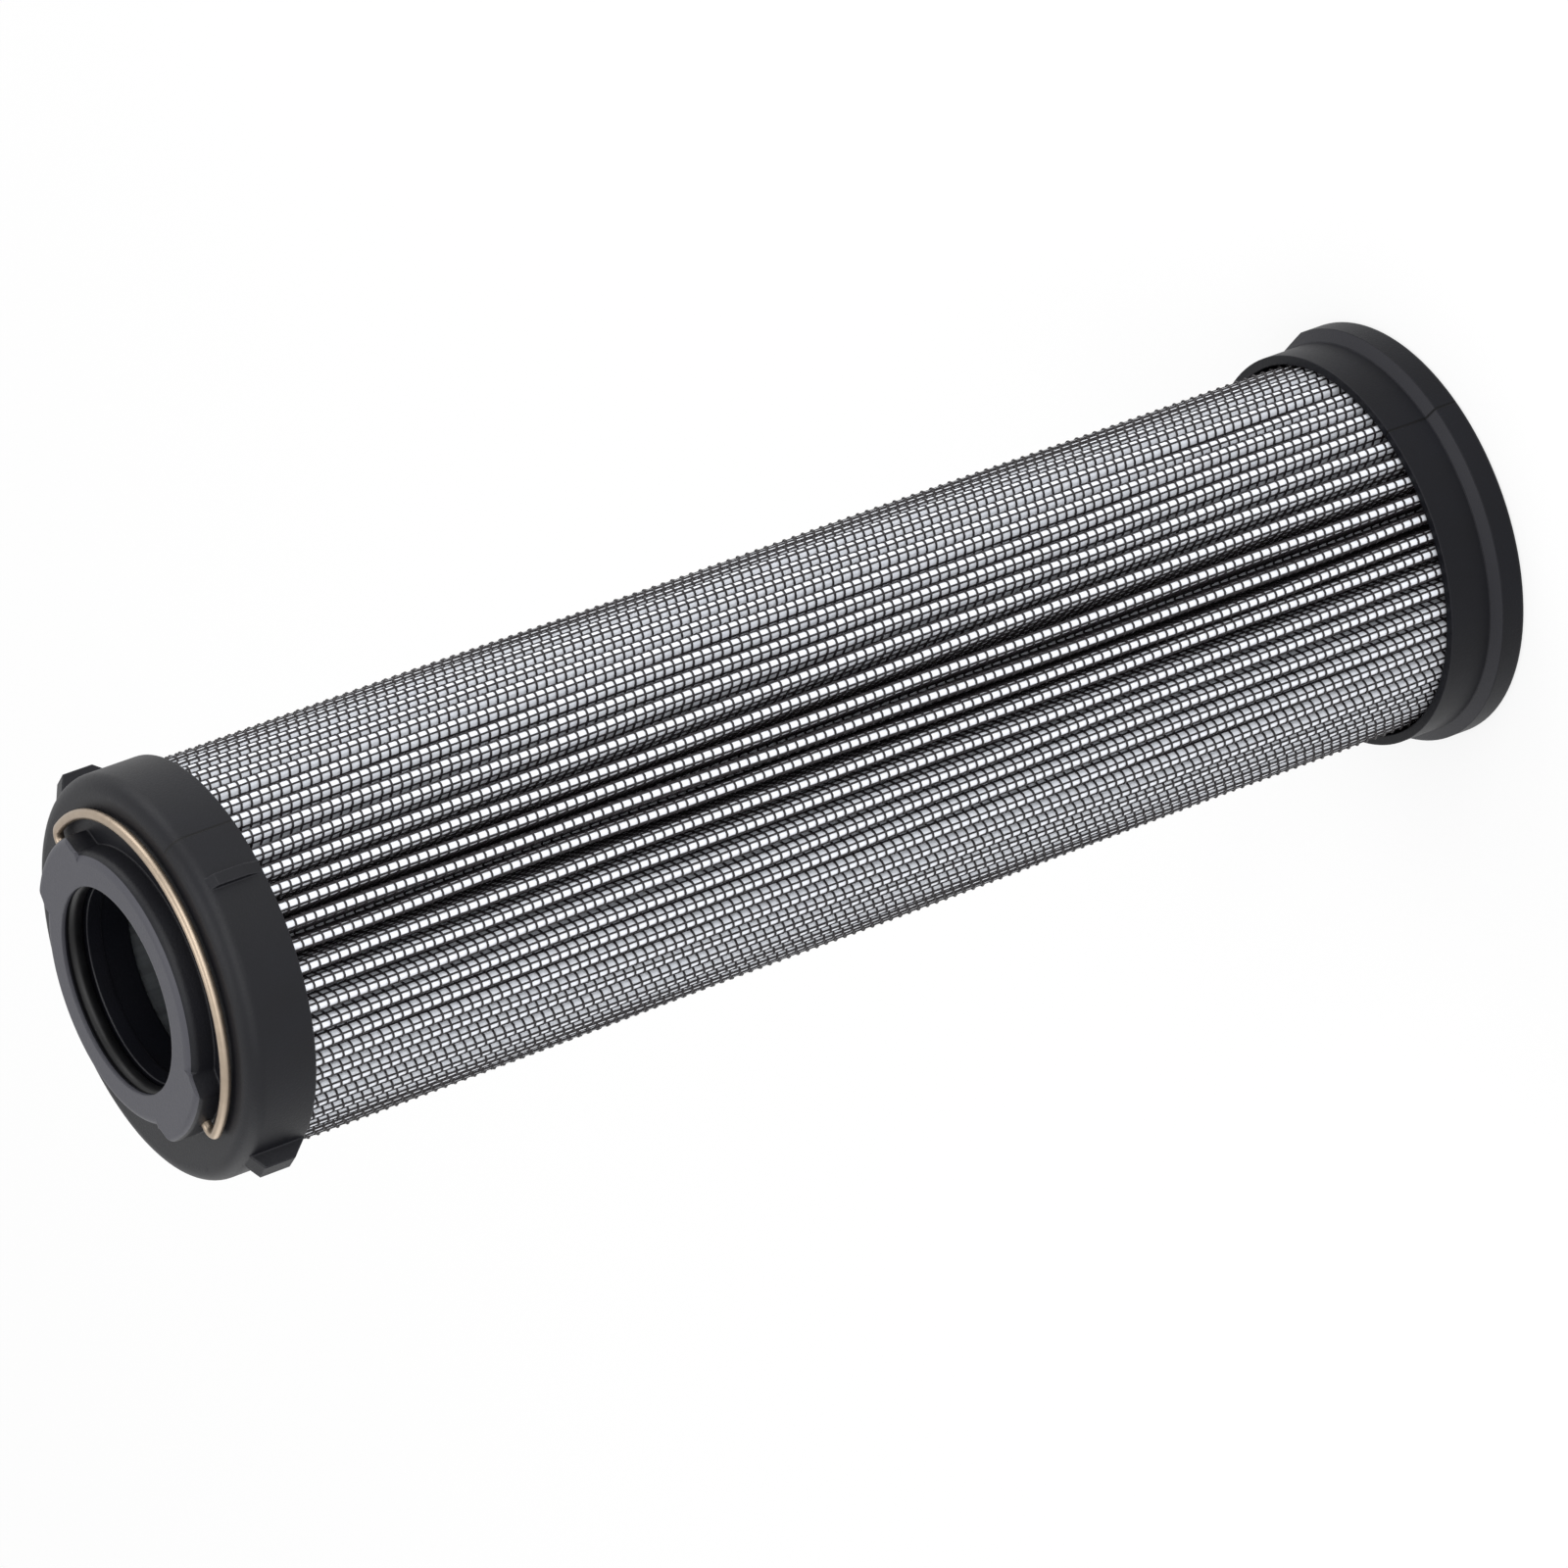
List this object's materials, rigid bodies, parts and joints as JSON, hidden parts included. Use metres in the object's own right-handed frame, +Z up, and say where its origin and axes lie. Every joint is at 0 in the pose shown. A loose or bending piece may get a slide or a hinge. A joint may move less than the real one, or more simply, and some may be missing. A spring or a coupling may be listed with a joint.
{
  "type": "hydraulic filter element",
  "caption": "Pleated hydraulic filter cartridge between moulded end caps, with a sealed bore at the open end and a wire bail for lifting it out of its housing.",
  "frame": {"origin": "centre of the closed bottom cap's underside, on the surface that the element stands on", "axes": "+Z up the element's axis from the closed flanged cap to the open end, X along the bail's pivot line, the resting bail on the -Y side"},
  "size_m": [0.064, 0.064, 0.219],
  "materials": {
    "cap_plastic": "satin, moulded, charcoal",
    "adhesive": "cast",
    "plated_steel": "zinc plated",
    "fleece": "matt, non-woven",
    "glass_fibre": "matt, fibrous",
    "coated_mesh": "epoxy coated, satin",
    "seal_rubber": "smooth, oiled",
    "bail_wire": "drawn, satin"
  },
  "bodies": {
    "element": {"bottom_cap": "cap_plastic", "bottom_bond": "adhesive", "core_tube": "plated_steel", "inner_mesh": "plated_steel", "inner_fleece": "fleece", "filter_media": "glass_fibre", "prefilter": "glass_fibre", "outer_fleece": "fleece", "outer_mesh": "coated_mesh", "seam_clip": "plated_steel", "top_bond": "adhesive", "top_cap": "cap_plastic", "bore_seal": "seal_rubber"},
    "bail": {"bail_handle": "bail_wire"}
  },
  "joints": [
    {"name": "bail_pivot", "type": "hinge", "parent": "element", "child": "bail", "pos_m": [0, 0, 0.2161], "axis": [-1, 0, 0], "range_deg": [0, 180]}
  ]
}
